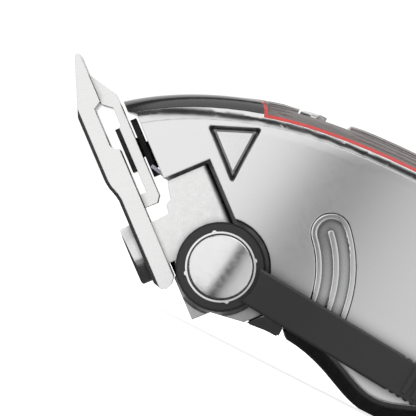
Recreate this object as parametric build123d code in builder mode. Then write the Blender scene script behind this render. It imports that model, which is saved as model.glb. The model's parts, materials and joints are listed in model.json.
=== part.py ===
"""Hair clipper with a taper lever, an adjustable bottom blade and a vibrator motor.

Millimetres. +X runs from the blades to the cord end, +Y is the plain side, the lever is on the
-Y side, and +Z is up. The origin lies on the belly, which rests on Z = 0 with the heel.
Side outlines are drawn about the lever pivot, head outlines about the pivot along the blades.
"""
from build123d import *
from math import cos, hypot, radians, sin
import os

os.makedirs("parts", exist_ok=True)

# ---------------------------------------------------------------- driving dimensions
LENGTH = 165.0  # blade tip to cord bush
WIDTH = 47.0  # across the housing's flat sides
REAR_WIDTH = 34.0  # across the housing at the cord end
WALL = 2.4  # housing wall
BELLY_DROP = 8.5  # belly below the lever pivot
BELLY_S = 26.2  # lowest point of the belly behind the pivot
BLADE_TILT = 40.0  # blades lean forward of upright

TOP_EDGE_R = 4.5  # long rounded edges of the housing
BOTTOM_EDGE_R = 3.2
COVER_T = 1.75  # spine cover and top grip
LINER_T = 0.45  # red liner under the top grip
BEZEL_T = 1.1  # polished bezel under cover and liner
GRIP_T = 1.8  # belly rubber
TRIM_T = 0.65  # bright trim over the belly rubber
REAR_CAP_L = 12.0  # length of the cap at the cord end

BLADE_W = 46.0  # bottom blade across its teeth
CUTTER_W = 40.0
BLADE_TRAVEL = 1.5  # bottom blade, along itself
LEVER_ANGLE = 45.0  # swing of the taper lever
LEVER_REST = -4.2  # lever angle at its lowest
LEVER_L = 44.0  # pivot to lever tip
LEVER_W = 5.2

EYE_R = 5.73  # lever eye
POCKET_R = 6.53  # round recess about the eye
POCKET_EDGE = 0.22  # its broken edge
JOURNAL_R = 2.0  # eccentric shaft in the head frame
CAM_R = 3.65  # eccentric disc
CAM_E = BLADE_TRAVEL / 2 / sin(radians(LEVER_ANGLE / 2))  # its offset from the pivot
RUN = 0.03  # radial clearance of running fits
SLIDE = 0.05  # gap between flat sliding faces
FREE = 0.3  # gap between pieces that pass each other

EAR_T = 1.2  # bracket sheet
EAR_STEP = 1.1  # bracket ears sit this far inside the housing's side
EAR_GAP = 0.5  # gap between the ears and the housing's notch
EAR_BEND_R = 0.9  # rounded rear edge of the ears
HEAD_REACH = 30.0  # blade tip ahead of the pivot
HINGE_S = 46.0  # armature hinge behind the pivot
ARM_Z = 8.0  # underside of the armature arm above the pivot
ARM_H = 5.5

SIDE_Y = WIDTH / 2
EAR_Y = SIDE_Y - EAR_STEP  # outer face of the bracket ears
FRAME_Y = EAR_Y - EAR_T - FREE  # side of the head frame under the ears
CAVITY_Y = SIDE_Y - WALL
REAR_S = LENGTH - HEAD_REACH  # cord end behind the pivot
PIVOT_X = -BELLY_S  # the origin lies under the belly
PIVOT_Z = BELLY_DROP

TILT = radians(BLADE_TILT)
PIVOT = Vector(PIVOT_X, 0, PIVOT_Z)
SIDE = Plane(origin=PIVOT, x_dir=(1, 0, 0), z_dir=(0, -1, 0))
HEAD = Plane(origin=PIVOT, x_dir=(sin(TILT), 0, cos(TILT)), z_dir=(0, -1, 0))


def head(w, u):
    """A head point (w toward the housing, u toward the blade tip) in side coordinates."""
    return (w * sin(TILT) - u * cos(TILT), w * cos(TILT) + u * sin(TILT))


def inset(points, depth):
    """The points of an outline moved to its right-hand side, seen along the outline."""
    moved = []
    for i, (x, y) in enumerate(points):
        x0, y0 = points[max(i - 1, 0)]
        x1, y1 = points[min(i + 1, len(points) - 1)]
        run = hypot(x1 - x0, y1 - y0)
        moved.append((x + depth * (y1 - y0) / run, y - depth * (x1 - x0) / run))
    return moved


# ---------------------------------------------------------------- side outlines
BODY_END = REAR_S - 2.0  # the cord bush stands out 2 mm
REAR_RUN = BODY_END - 30.0  # the free-form rear stretch of the outlines


def rear(t):
    return 30.0 + REAR_RUN * t


TOP = [
    (-24.5, 11.0),
    (-21.5, 13.9),
    (-17.0, 17.1),
    (-12.0, 19.75),
    (-6.5, 21.9),
    (0.0, 23.65),
    (7.0, 24.7),
    (14.0, 25.2),
    (22.0, 25.3),
    (rear(0.15), 24.7),
    (rear(0.4), 22.4),
    (rear(0.7), 18.2),
    (rear(1.0), 13.0),
]
# heel to chin, so that the inside lies to the right here too
HEEL_S = rear(0.78)
BOTTOM = [
    (rear(1.0), -5.0),
    (HEEL_S + 11.0, -7.3),
    (HEEL_S, -BELLY_DROP - 0.1),
    (HEEL_S - 14.0, -7.5),
    (rear(0.3), -3.6),
    (rear(0.15), -3.9),
    (32.5, -6.9),
    (29.3, -8.1),
    (BELLY_S, -BELLY_DROP - 0.1),
    (23.3, -8.1),
    (18.7, -6.2),
    (15.0, -5.05),
    (11.5, -4.65),
]
CHIN = head(0.18, -8.25)  # where the housing's underside meets the head frame

TOP_HOUSING = COVER_T + LINER_T + BEZEL_T
BOTTOM_HOUSING = GRIP_T + TRIM_T


def plan_outline(inner):
    """The body's plan, shrunk by inner: flat sides, then a taper to the cord end."""
    x0 = PIVOT_X - 40.0
    x_taper = PIVOT_X + 48.0
    x1 = PIVOT_X + BODY_END - inner
    y0 = SIDE_Y - inner
    y1 = REAR_WIDTH / 2 - inner
    corner = 6.0
    with BuildSketch() as plan:
        with BuildLine():
            Polyline((x0, 0), (x0, y0), (x_taper, y0))
            Spline((x_taper, y0), (x1 - corner, y1), tangents=[(1, 0), (1, -0.12)])
            Spline((x1 - corner, y1), (x1, y1 - corner), tangents=[(1, -0.12), (0, -1)])
            Polyline((x1, y1 - corner), (x1, 0), (x0, 0))
        make_face()
        mirror(about=Plane.XZ)
    return plan.sketch


def body_outline(top_depth, bottom_depth, front):
    """The side view between the top and bottom outlines, closed by the front points."""
    upper = inset(TOP, top_depth)
    lower = inset(BOTTOM, bottom_depth)
    with BuildSketch() as view:
        with BuildLine():
            Spline(*upper)
            Line(upper[-1], lower[0])
            Spline(*lower)
            Polyline(lower[-1], *front, upper[0])
        make_face()
    return view.sketch


def band(outline, outer, inner):
    """The strip between two depths of an outline."""
    upper = inset(outline, outer)
    lower = inset(outline, inner)
    with BuildSketch() as strip:
        with BuildLine():
            Spline(*upper)
            Line(upper[-1], lower[-1])
            Spline(*lower)
            Line(lower[0], upper[0])
        make_face()
    return strip.sketch


def polygon(*points):
    """A straight-sided face."""
    with BuildSketch() as face:
        with BuildLine():
            Polyline(*points, close=True)
        make_face()
    return face.sketch


# ---------------------------------------------------------------- outer envelope
body_view = body_outline(0, 0, [CHIN, head(-8, -10), head(-8, 25.3)])
body_plan = plan_outline(0)
with BuildPart() as envelope:
    with BuildSketch(SIDE):
        add(body_view)
    extrude(amount=SIDE_Y, both=True)
    with BuildSketch(Plane.XY.offset(-20)):
        add(body_plan)
    extrude(amount=80, mode=Mode.INTERSECT)
    long_edges = envelope.edges().filter_by(lambda e: abs(e.center().Y) > 14)
    curved = long_edges.filter_by(GeomType.BSPLINE)
    fillet(curved.filter_by(lambda e: e.center().Z > PIVOT_Z + 10), TOP_EDGE_R)
    long_edges = envelope.edges().filter_by(lambda e: abs(e.center().Y) > 14)
    curved = long_edges.filter_by(GeomType.BSPLINE)
    fillet(curved.filter_by(lambda e: e.center().Z < PIVOT_Z), BOTTOM_EDGE_R)
    split(bisect_by=Plane.XY, keep=Keep.TOP)

# where the strips over the housing start and stop
CAP_S = BODY_END - REAR_CAP_L  # front of the rear cap


def side_prism(face, half):
    """A side view drawn about the pivot, extruded to both sides."""
    with BuildPart() as prism:
        with BuildSketch(SIDE):
            add(face)
        extrude(amount=half, both=True)
    return prism.part


def head_prism(face, half):
    """A head view drawn along the blades, extruded to both sides."""
    with BuildPart() as prism:
        with BuildSketch(HEAD):
            add(face)
        extrude(amount=half, both=True)
    return prism.part


def side_box(s0, s1, n0, n1, y0, y1):
    """A block between two lengths s, two heights n and two widths y."""
    with BuildPart() as block:
        with Locations((PIVOT_X + s0, y0, PIVOT_Z + n0)):
            Box(s1 - s0, y1 - y0, n1 - n0, align=(Align.MIN, Align.MIN, Align.MIN))
    return block.part


def cover_edge(shift):
    """Everything ahead of the curved seam between spine cover and top grip."""
    x_side = PIVOT_X - 3.0 + shift
    x_mid = PIVOT_X - 9.5 + shift
    with BuildPart() as ahead:
        with BuildSketch(Plane.XY):
            with BuildLine():
                ThreePointArc((x_side, -SIDE_Y - 1), (x_mid, 0), (x_side, SIDE_Y + 1))
                Polyline(
                    (x_side, SIDE_Y + 1),
                    (PIVOT_X - 60, SIDE_Y + 1),
                    (PIVOT_X - 60, -SIDE_Y - 1),
                    (x_side, -SIDE_Y - 1),
                )
            make_face()
        extrude(amount=60)
    return ahead.part


def behind(s):
    """Everything behind the length s."""
    return side_box(s, s + 200, -40, 60, -60, 60)


# ---------------------------------------------------------------- switch slider on the top
SWITCH_S = 2.0  # middle of the slider
SWITCH_L = 3.6
SWITCH_TRAVEL = 3.0
SWITCH_Y = 21.0  # half width of the slider, over both shoulders
SWITCH_SLOPE = 8.5  # the top's slope under the slider
STEM_Y = 2.0
STEM_S0 = SWITCH_S - 1.2
STEM_S1 = SWITCH_S + 1.2
STEM_BOTTOM = 16.0


def switch_slot(half, grow):
    """Room for the slider or its stem over the whole travel."""
    s0 = STEM_S0 - grow
    s1 = STEM_S1 + SWITCH_TRAVEL + grow
    return side_box(s0, s1, STEM_BOTTOM - grow, 40, -half - grow, half + grow)


# ---------------------------------------------------------------- housing shells
NOTCH_W = 4.33  # rear edge of the bracket's notch
NOTCH_U = 13.83  # top edge of the notch
CHIN_U = -8.2  # lower edge of the notch
MOUTH_W = -2.36  # front edge of the housing's sides
FLOOR_S = 11.1  # where the belly trim starts

cavity_view = body_outline(
    TOP_HOUSING + WALL,
    BOTTOM_HOUSING + WALL,
    [
        (CHIN[0] + 3.0, CHIN[1] + WALL),
        head(-2.0, -8.25),
        head(-9.0, -6.0),
        head(-9.0, 23.0),
    ],
)
cavity_plan = plan_outline(WALL)
with BuildPart() as cavity:
    with BuildSketch(SIDE):
        add(cavity_view)
    extrude(amount=SIDE_Y, both=True)
    with BuildSketch(Plane.XY.offset(-20)):
        add(cavity_plan)
    extrude(amount=80, mode=Mode.INTERSECT)

BOSSES = [(12.3, 16.6, 2.7), (27.0, -0.95, 2.65), (62.0, 14.0, 2.8), (96.0, 10.5, 2.8)]
SCREW_R = 1.1
SCREW_HEAD_R = 1.9
FRAME_SCREW_S = 9.1
FRAME_SCREW_Y = 16.5

shell_view = body_outline(
    TOP_HOUSING,
    BOTTOM_HOUSING,
    [
        (FLOOR_S, BOTTOM_HOUSING - 4.75),
        (FLOOR_S, -4.66),
        CHIN,
        head(-8, -10),
        head(-8, 20),
    ],
)
ARM_ROOM_Y = 8.0  # half width of the armature's way through the mouth
arm_room = side_prism(
    polygon(
        head(-4, 14.5),
        head(-4, 20.4),
        (-15.2, 12.9),
        (-10.0, 14.1),
        (-4.0, 14.1),
        (-4.0, 8.0),
    ),
    ARM_ROOM_Y,
)
mouth_view = polygon(
    (-30, -30),
    (0.2, -30),
    (0.2, CHIN_U),
    (NOTCH_W, CHIN_U),
    (NOTCH_W, NOTCH_U),
    (MOUTH_W, NOTCH_U),
    (MOUTH_W, 40),
    (-30, 40),
)
with BuildPart() as shell:
    with BuildSketch(SIDE):
        add(shell_view)
    extrude(amount=SIDE_Y, both=True)
    add(envelope.part, mode=Mode.INTERSECT)
    add(cavity.part, mode=Mode.SUBTRACT)
    with BuildSketch(HEAD):
        add(mouth_view)
    extrude(amount=SIDE_Y + 1, both=True, mode=Mode.SUBTRACT)
    add(behind(CAP_S), mode=Mode.SUBTRACT)
    # round recess about the lever eye, through both sides alike
    with BuildSketch(SIDE):
        Circle(POCKET_R)
    extrude(amount=SIDE_Y, both=True, mode=Mode.SUBTRACT)
    pocket_edges = shell.edges().filter_by(GeomType.CIRCLE).filter_by(
        lambda e: abs(e.radius - POCKET_R) < 0.01 and abs(e.center().Y) > SIDE_Y - 0.01
    )
    chamfer(pocket_edges, POCKET_EDGE)
    add(switch_slot(STEM_Y, FREE), mode=Mode.SUBTRACT)
    add(arm_room, mode=Mode.SUBTRACT)
    for y in (-FRAME_SCREW_Y, FRAME_SCREW_Y):
        with BuildSketch(Plane.XY):
            with Locations((PIVOT_X + FRAME_SCREW_S, y)):
                Circle(1.1)
        extrude(amount=PIVOT_Z - 2.0, mode=Mode.SUBTRACT)
        with BuildSketch(Plane.XY):
            with Locations((PIVOT_X + FRAME_SCREW_S, y)):
                Circle(1.9)
        extrude(amount=PIVOT_Z - 3.9, mode=Mode.SUBTRACT)

# ---------------------------------------------------------------- recesses in the lever side
TRACK_R = 15.4  # middle of the curved track about the pivot
TRACK_HALF = 1.8  # half width of the track's recess
TRACK_RIM = 0.95  # raised rim about it
TRACK_TOP = 43.9  # upper end, degrees about the pivot
TRACK_LOW = 2.5  # lower end, under the resting lever
TRACK_DEPTH = 1.2
TRACK_GROOVE = 0.75  # channels beside the rib
TRIANGLE = [(-9.6, 16.0), (-3.7, 18.6), (-3.9, 11.1)]
TRIANGLE_DEPTH = 1.4
LEVER_FACE = Plane(origin=PIVOT + Vector(0, -SIDE_Y, 0), x_dir=(1, 0, 0), z_dir=(0, -1, 0))


def track_view(half):
    """The curved slot about the pivot, round at both ends."""
    a0 = radians(TRACK_LOW)
    a1 = radians(TRACK_TOP)
    mid = (a0 + a1) / 2
    inner = TRACK_R - half
    outer = TRACK_R + half

    def at(r, a):
        return (r * cos(a), r * sin(a))

    end1 = (TRACK_R * cos(a1) - half * sin(a1), TRACK_R * sin(a1) + half * cos(a1))
    end0 = (TRACK_R * cos(a0) + half * sin(a0), TRACK_R * sin(a0) - half * cos(a0))
    with BuildSketch() as slot:
        with BuildLine():
            ThreePointArc(at(inner, a0), at(inner, mid), at(inner, a1))
            ThreePointArc(at(inner, a1), end1, at(outer, a1))
            ThreePointArc(at(outer, a1), at(outer, mid), at(outer, a0))
            ThreePointArc(at(outer, a0), end0, at(inner, a0))
        make_face()
    return slot.sketch


track_outer = track_view(TRACK_HALF + TRACK_RIM)
track_inner = track_view(TRACK_HALF)
track_rib = track_view(0.5)
triangle_view = polygon(*TRIANGLE)

# ---------------------------------------------------------------- left and right housing
with BuildPart() as left_housing:
    add(shell.part)
    split(bisect_by=Plane.XZ, keep=Keep.TOP)
    with BuildSketch(LEVER_FACE):
        add(track_outer)
    extrude(amount=-TRACK_DEPTH, mode=Mode.SUBTRACT)
    with BuildSketch(LEVER_FACE):
        add(triangle_view)
        offset(amount=0.3, kind=Kind.ARC)
    extrude(amount=-TRIANGLE_DEPTH, mode=Mode.SUBTRACT, taper=20)
    # threaded bosses that meet the right shell's bosses in the middle
    for s, n, r in BOSSES:
        with BuildSketch(Plane.XZ.offset(CAVITY_Y)):
            with Locations((PIVOT_X + s, PIVOT_Z + n)):
                Circle(r)
        extrude(amount=-CAVITY_Y)
    add(envelope.part, mode=Mode.INTERSECT)
    for s, n, r in BOSSES:
        with BuildSketch(Plane.XZ):
            with Locations((PIVOT_X + s, PIVOT_Z + n)):
                Circle(SCREW_R)
        extrude(amount=8, mode=Mode.SUBTRACT)
left_housing.part.label = "left_housing"
export_step(left_housing.part, "parts/left_housing.step")

with BuildPart() as right_housing:
    add(shell.part)
    split(bisect_by=Plane.XZ, keep=Keep.BOTTOM)
    for s, n, r in BOSSES:
        with BuildSketch(Plane.XZ.offset(-CAVITY_Y)):
            with Locations((PIVOT_X + s, PIVOT_Z + n)):
                Circle(r)
        extrude(amount=CAVITY_Y)
    add(envelope.part, mode=Mode.INTERSECT)
    for s, n, r in BOSSES:
        with BuildSketch(Plane.XZ):
            with Locations((PIVOT_X + s, PIVOT_Z + n)):
                Circle(SCREW_R)
        extrude(amount=-40, mode=Mode.SUBTRACT)
        with BuildSketch(Plane.XZ.offset(-4)):
            with Locations((PIVOT_X + s, PIVOT_Z + n)):
                Circle(SCREW_HEAD_R + 0.15)
        extrude(amount=-40, mode=Mode.SUBTRACT)
right_housing.part.label = "right_housing"
export_step(right_housing.part, "parts/right_housing.step")

with BuildPart() as housing_screws:
    for s, n, r in BOSSES:
        with BuildSketch(Plane.XZ.offset(7)):
            with Locations((PIVOT_X + s, PIVOT_Z + n)):
                Circle(SCREW_R)
        extrude(amount=-11)
        with BuildSketch(Plane.XZ.offset(-4)):
            with Locations((PIVOT_X + s, PIVOT_Z + n)):
                Circle(SCREW_HEAD_R)
        extrude(amount=-1.8)
        with BuildSketch(Plane.XZ.offset(-5.8)):
            with Locations((PIVOT_X + s, PIVOT_Z + n)):
                Rectangle(2.4, 0.6)
                Rectangle(0.6, 2.4)
        extrude(amount=0.9, mode=Mode.SUBTRACT)
housing_screws.part.label = "housing_screws"
export_step(housing_screws.part, "parts/housing_screws.step")

# ---------------------------------------------------------------- strips over the top
FRONT_CUT = polygon(
    (-40, -40),
    (MOUTH_W, -40),
    (MOUTH_W, 23.07),
    (-3.3, 23.9),
    (-3.3, 60),
    (-40, 60),
)
cover_front = head_prism(FRONT_CUT, SIDE_Y + 1)
cover_view = band(TOP, -1.0, COVER_T)
under_cover = band(TOP, COVER_T, COVER_T + LINER_T)
bezel_view = band(TOP, COVER_T, TOP_HOUSING)
seam_front = cover_edge(0)
seam_rear = cover_edge(LINER_T)

with BuildPart() as spine_cover:
    with BuildSketch(SIDE):
        add(cover_view)
    extrude(amount=SIDE_Y, both=True)
    add(envelope.part, mode=Mode.INTERSECT)
    add(seam_front, mode=Mode.INTERSECT)
    add(cover_front, mode=Mode.SUBTRACT)
spine_cover.part.label = "spine_cover"
export_step(spine_cover.part, "parts/spine_cover.step")

with BuildPart() as top_grip:
    with BuildSketch(SIDE):
        add(cover_view)
    extrude(amount=SIDE_Y, both=True)
    add(envelope.part, mode=Mode.INTERSECT)
    add(seam_rear, mode=Mode.SUBTRACT)
    add(behind(CAP_S), mode=Mode.SUBTRACT)
    with BuildPart(mode=Mode.PRIVATE) as slot:
        add(
            side_box(
                SWITCH_S - SWITCH_L / 2 - FREE,
                SWITCH_S + SWITCH_L / 2 + SWITCH_TRAVEL + FREE,
                10,
                40,
                -SWITCH_Y - FREE,
                SWITCH_Y + FREE,
            )
        )
    add(slot.part, mode=Mode.SUBTRACT)
top_grip.part.label = "top_grip"
export_step(top_grip.part, "parts/top_grip.step")

with BuildPart() as red_liner:
    with BuildSketch(SIDE):
        add(under_cover)
    extrude(amount=SIDE_Y, both=True)
    add(envelope.part, mode=Mode.INTERSECT)
    add(seam_front, mode=Mode.SUBTRACT)
    with BuildPart(mode=Mode.PRIVATE) as lip:
        with BuildSketch(SIDE):
            add(cover_view)
        extrude(amount=SIDE_Y, both=True)
        add(envelope.part, mode=Mode.INTERSECT)
        add(seam_rear, mode=Mode.INTERSECT)
        add(seam_front, mode=Mode.SUBTRACT)
    add(lip.part)
    add(behind(CAP_S), mode=Mode.SUBTRACT)
    add(switch_slot(STEM_Y, FREE), mode=Mode.SUBTRACT)
red_liner.part.label = "red_liner"
export_step(red_liner.part, "parts/red_liner.step")

with BuildPart() as top_bezel:
    with BuildSketch(SIDE):
        add(bezel_view)
    extrude(amount=SIDE_Y, both=True)
    add(envelope.part, mode=Mode.INTERSECT)
    with BuildPart(mode=Mode.PRIVATE) as liner_room:
        with BuildSketch(SIDE):
            add(under_cover)
        extrude(amount=SIDE_Y + 1, both=True)
        add(seam_front, mode=Mode.SUBTRACT)
    add(liner_room.part, mode=Mode.SUBTRACT)
    add(cover_front, mode=Mode.SUBTRACT)
    add(behind(CAP_S), mode=Mode.SUBTRACT)
    add(switch_slot(STEM_Y, FREE), mode=Mode.SUBTRACT)
top_bezel.part.label = "top_bezel"
export_step(top_bezel.part, "parts/top_bezel.step")

# ---------------------------------------------------------------- strips under the belly
belly_view = band(BOTTOM, -1.0, GRIP_T)
trim_view = band(BOTTOM, GRIP_T, BOTTOM_HOUSING)
belly_front = polygon((FLOOR_S, -1.0), (FLOOR_S, -3.4), (13.1, -5.6), (13.1, -9.5), (-9, -9.5), (-9, -1.0))
belly_ahead = side_prism(belly_front, SIDE_Y + 1)

with BuildPart() as belly_grip:
    with BuildSketch(SIDE):
        add(belly_view)
    extrude(amount=SIDE_Y, both=True)
    add(envelope.part, mode=Mode.INTERSECT)
    add(belly_ahead, mode=Mode.SUBTRACT)
    add(behind(CAP_S), mode=Mode.SUBTRACT)
belly_grip.part.label = "belly_grip"
export_step(belly_grip.part, "parts/belly_grip.step")

with BuildPart() as belly_trim:
    with BuildSketch(SIDE):
        add(trim_view)
    extrude(amount=SIDE_Y, both=True)
    add(envelope.part, mode=Mode.INTERSECT)
    add(belly_ahead, mode=Mode.SUBTRACT)
    add(behind(CAP_S), mode=Mode.SUBTRACT)
belly_trim.part.label = "belly_trim"
export_step(belly_trim.part, "parts/belly_trim.step")

# ---------------------------------------------------------------- cord end
INLET_N = 4.0  # height of the cord hole above the pivot
INLET_R = 5.0
CORD_R = 3.1
cap_face = Plane.YZ.offset(PIVOT_X + BODY_END)

with BuildPart() as rear_cap:
    add(envelope.part)
    add(behind(CAP_S + FREE / 3), mode=Mode.INTERSECT)
    with BuildPart(mode=Mode.PRIVATE) as cap_room:
        add(cavity.part)
        add(side_box(CAP_S - 1, BODY_END - WALL, -20, 30, -30, 30), mode=Mode.INTERSECT)
    add(cap_room.part, mode=Mode.SUBTRACT)
    with BuildSketch(cap_face):
        with Locations((0, PIVOT_Z + INLET_N)):
            Circle(INLET_R + SLIDE)
    extrude(amount=-10, mode=Mode.SUBTRACT)
    with BuildSketch(cap_face.offset(-4.0)):
        with Locations((0, PIVOT_Z + INLET_N)):
            Circle(INLET_R + 1.0 + SLIDE)
    extrude(amount=-10, mode=Mode.SUBTRACT)
rear_cap.part.label = "rear_cap"
export_step(rear_cap.part, "parts/rear_cap.step")

with BuildPart() as inlet_bush:
    with BuildSketch(Plane.YZ.offset(PIVOT_X + REAR_S)):
        with Locations((0, PIVOT_Z + INLET_N)):
            Circle(INLET_R)
            Circle(CORD_R, mode=Mode.SUBTRACT)
    extrude(amount=-6.1)
    with BuildSketch(cap_face.offset(-4.1)):
        with Locations((0, PIVOT_Z + INLET_N)):
            Circle(INLET_R + 1.0)
            Circle(CORD_R, mode=Mode.SUBTRACT)
    extrude(amount=-2.1)
inlet_bush.part.label = "inlet_bush"
export_step(inlet_bush.part, "parts/inlet_bush.step")

# ---------------------------------------------------------------- inserts in the lever side
with BuildPart() as lever_track:
    with BuildSketch(LEVER_FACE):
        add(track_outer)
    extrude(amount=-TRACK_DEPTH)
    with BuildSketch(LEVER_FACE):
        add(track_inner)
        add(track_rib, mode=Mode.SUBTRACT)
    extrude(amount=-TRACK_GROOVE, mode=Mode.SUBTRACT)
    fillet(lever_track.edges().filter_by_position(Axis.Y, -SIDE_Y - 0.001, -SIDE_Y + 0.001), 0.3)
lever_track.part.label = "lever_track"
export_step(lever_track.part, "parts/lever_track.step")

with BuildPart() as triangle_insert:
    with BuildSketch(LEVER_FACE.offset(-TRIANGLE_DEPTH)):
        add(triangle_view)
        offset(amount=-0.5, kind=Kind.ARC)
    extrude(amount=0.4)
triangle_insert.part.label = "triangle_insert"
export_step(triangle_insert.part, "parts/triangle_insert.step")

# ---------------------------------------------------------------- head frame
FRONT_W = -6.27  # front of the chin and of the bracket
CHIN_TOP_U = 1.07
BRACKET_U = 3.07  # underside of the bracket when raised
FRAME_W = -3.4  # front of the frame behind the bracket
FRAME_U = 8.6
FRAME_TOP_N = ARM_Z - 1.0
FRAME_REAR_S = 11.2
FRAME_FLOOR_N = -2.5
POST_W = -5.2  # guide posts, along the blades
POST_Y = 18.3
POST_R = 0.8
CHEEK_T = 1.0
frame_chin = [head(FRONT_W, CHIN_TOP_U), head(FRONT_W, -5.0), head(-3.65, -5.05), (CHIN[0] - 0.3, CHIN[1])]
frame_view = polygon(
    *frame_chin,
    (CHIN[0] - 0.3, FRAME_FLOOR_N),
    (FRAME_REAR_S - 2.0, FRAME_FLOOR_N),
    (FRAME_REAR_S, FRAME_FLOOR_N + 2.1),
    (FRAME_REAR_S, FRAME_TOP_N),
    head(1.92, FRAME_U),
    head(FRAME_W, FRAME_U),
    head(FRAME_W, CHIN_TOP_U),
)
chin_view = polygon(
    *frame_chin,
    head(2.6, CHIN_U + 0.2),
    head(NOTCH_W - FREE, CHIN_U + 0.2),
    head(NOTCH_W - FREE, CHIN_TOP_U),
)
frame_room = polygon(
    head(-1.4, 30),
    head(-1.4, 0.5),
    (4.0, -0.5),
    (FRAME_REAR_S - 1.5, -0.5),
    (FRAME_REAR_S - 1.5, 30),
)

cheek_view = polygon(
    (MOUTH_W + 0.8, FRAME_U - 1.0),
    (MOUTH_W + 0.8, NOTCH_U + 1.2),
    (NOTCH_W + 1.2, NOTCH_U + 1.2),
    (NOTCH_W + 1.2, 3.0),
    (1.5, 3.0),
    (1.5, FRAME_U - 1.0),
)

with BuildPart() as head_frame:
    with BuildSketch(SIDE):
        add(frame_view)
    extrude(amount=FRAME_Y, both=True)
    with BuildSketch(SIDE):
        add(chin_view)
    extrude(amount=EAR_Y, both=True)
    with BuildSketch(SIDE):
        add(frame_room)
    extrude(amount=FRAME_Y - 7.0, both=True, mode=Mode.SUBTRACT)
    # cheeks that close the gap round the bracket's ears
    with BuildSketch(HEAD.offset(FRAME_Y)):
        add(cheek_view)
    extrude(amount=-CHEEK_T)
    with BuildSketch(HEAD.offset(-FRAME_Y)):
        add(cheek_view)
    extrude(amount=CHEEK_T)
    # room for the bracket's ears about the lever pivot
    for y in (FRAME_Y, -FRAME_Y - 10):
        with BuildSketch(Plane.XZ.offset(-y)):
            with Locations((PIVOT_X, PIVOT_Z)):
                Circle(POCKET_R)
        extrude(amount=-10, mode=Mode.SUBTRACT)
    with BuildSketch(Plane.XZ.offset(FRAME_Y)):
        with Locations((PIVOT_X, PIVOT_Z)):
            Circle(JOURNAL_R + RUN)
    extrude(amount=-11.0, mode=Mode.SUBTRACT)
    with BuildSketch(Plane.XZ.offset(FRAME_Y - 7.0)):
        with Locations((PIVOT_X, PIVOT_Z)):
            Circle(4.1)
    extrude(amount=-4.0, mode=Mode.SUBTRACT)
    for y in (-FRAME_SCREW_Y, FRAME_SCREW_Y):
        with BuildSketch(Plane.XY):
            with Locations((PIVOT_X + FRAME_SCREW_S, y)):
                Circle(1.0)
        extrude(amount=PIVOT_Z + 1.0, mode=Mode.SUBTRACT)
    for y in (-POST_Y, POST_Y):
        with BuildPart(mode=Mode.PRIVATE) as post_hole:
            with BuildSketch(Plane(HEAD.from_local_coords((POST_W, -4.0, -y)), z_dir=HEAD.y_dir)):
                Circle(POST_R)
            extrude(amount=5.2)
        add(post_hole.part, mode=Mode.SUBTRACT)
head_frame.part.label = "head_frame"
export_step(head_frame.part, "parts/head_frame.step")

with BuildPart() as frame_screws:
    for y in (-FRAME_SCREW_Y, FRAME_SCREW_Y):
        with BuildSketch(Plane.XY.offset(PIVOT_Z - 3.9)):
            with Locations((PIVOT_X + FRAME_SCREW_S, y)):
                Circle(1.8)
        extrude(amount=-1.0)
        with BuildSketch(Plane.XY.offset(PIVOT_Z - 3.9)):
            with Locations((PIVOT_X + FRAME_SCREW_S, y)):
                Circle(1.0)
        extrude(amount=4.6)
frame_screws.part.label = "frame_screws"
export_step(frame_screws.part, "parts/frame_screws.step")

# two leaves that press the cutter on the bottom blade
spring_view = polygon(
    (1.5, FRAME_U),
    (1.5, FRAME_U + 0.5),
    (-0.7, FRAME_U + 0.5),
    (-0.7, 12.2),
    (-3.0, 16.2),
    (-3.45, 16.0),
    (-1.2, 12.0),
    (-1.2, FRAME_U),
)
with BuildPart() as cutter_spring:
    for y in (-16.0, 13.0):
        with BuildSketch(HEAD.offset(y)):
            add(spring_view)
        extrude(amount=3.0)
cutter_spring.part.label = "cutter_spring"
export_step(cutter_spring.part, "parts/cutter_spring.step")

with BuildPart() as guide_posts:
    for y in (-POST_Y, POST_Y):
        with BuildSketch(Plane(HEAD.from_local_coords((POST_W, -4.0, -y)), z_dir=HEAD.y_dir)):
            Circle(POST_R)
        extrude(amount=12.0)
guide_posts.part.label = "guide_posts"
export_step(guide_posts.part, "parts/guide_posts.step")

# ---------------------------------------------------------------- adjusting bracket
WALL_TOP_U = 9.1
BOSS_W = -3.85  # back of the bosses behind the bracket's front wall
EAR_REAR_W = NOTCH_W - EAR_GAP
EAR_TOP_U = NOTCH_U - EAR_GAP
BLADE_SCREW_U = 5.87
BLADE_SCREW_Y = 9.5
BLADE_SCREW_R = 1.5
CAM_W = -CAM_E * cos(radians(LEVER_ANGLE / 4)) - 0.03  # middle of the cam's short sweep
CAM_U = CAM_E * sin(radians(LEVER_ANGLE / 2))

ear_view = polygon(
    (FRONT_W, BRACKET_U),
    (FRONT_W, WALL_TOP_U),
    (-3.57, WALL_TOP_U + 0.2),
    (-3.4, 10.5),
    (-2.6, 10.9),
    (-2.4, 12.0),
    (-2.0, EAR_TOP_U),
    (EAR_REAR_W, EAR_TOP_U),
    (EAR_REAR_W, -1.5),
    (1.2, -4.15),
    (-2.5, -4.15),
    (-2.5, BRACKET_U),
)

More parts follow.
